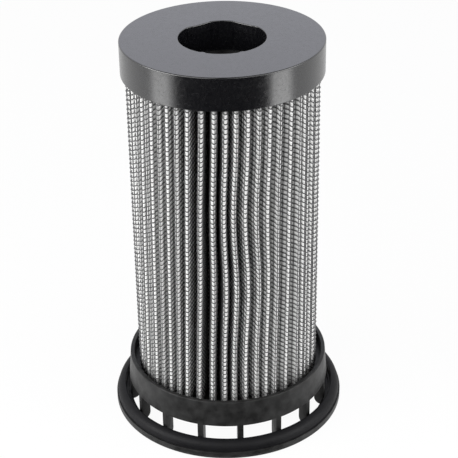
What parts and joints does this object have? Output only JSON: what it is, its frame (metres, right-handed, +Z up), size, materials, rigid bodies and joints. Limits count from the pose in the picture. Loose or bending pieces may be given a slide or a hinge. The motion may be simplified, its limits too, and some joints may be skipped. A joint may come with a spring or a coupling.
{
  "type": "hydraulic filter",
  "caption": "Upright pleated filter element: moulded top cap with an outlet bore, wire-backed pleats and a windowed flange base with a rubber gasket.",
  "frame": {"origin": "centre of the base, on the surface that the flange stands on", "axes": "+Z up along the element's axis towards the outlet bore; -Y is the front, +Y the seam side"},
  "size_m": [0.098, 0.098, 0.166],
  "materials": {
    "moulded_cap": "satin black glass-filled nylon",
    "moulded_cup": "matt black glass-filled nylon, faintly mottled",
    "gasket_rubber": "smooth moulded nitrile rubber",
    "seal_rubber": "smooth black nitrile rubber",
    "potting_resin": "cured dark grey resin",
    "coated_wire": "black epoxy-coated woven wire",
    "scrim_cloth": "white spun-bonded cloth",
    "glass_fibre_media": "white glass-fibre felt",
    "plated_steel": "zinc-plated sheet steel"
  },
  "bodies": {
    "root": {"top_end_cap": "moulded_cap", "bore_seal": "seal_rubber", "top_potting": "potting_resin", "outer_support_mesh": "coated_wire", "upstream_scrim": "scrim_cloth", "filter_media": "glass_fibre_media", "downstream_scrim": "scrim_cloth", "inner_support_mesh": "coated_wire", "side_seam_clip": "plated_steel", "center_tube": "plated_steel", "bottom_potting": "potting_resin", "bottom_end_cap": "moulded_cup", "flange_gasket": "gasket_rubber"}
  },
  "joints": []
}
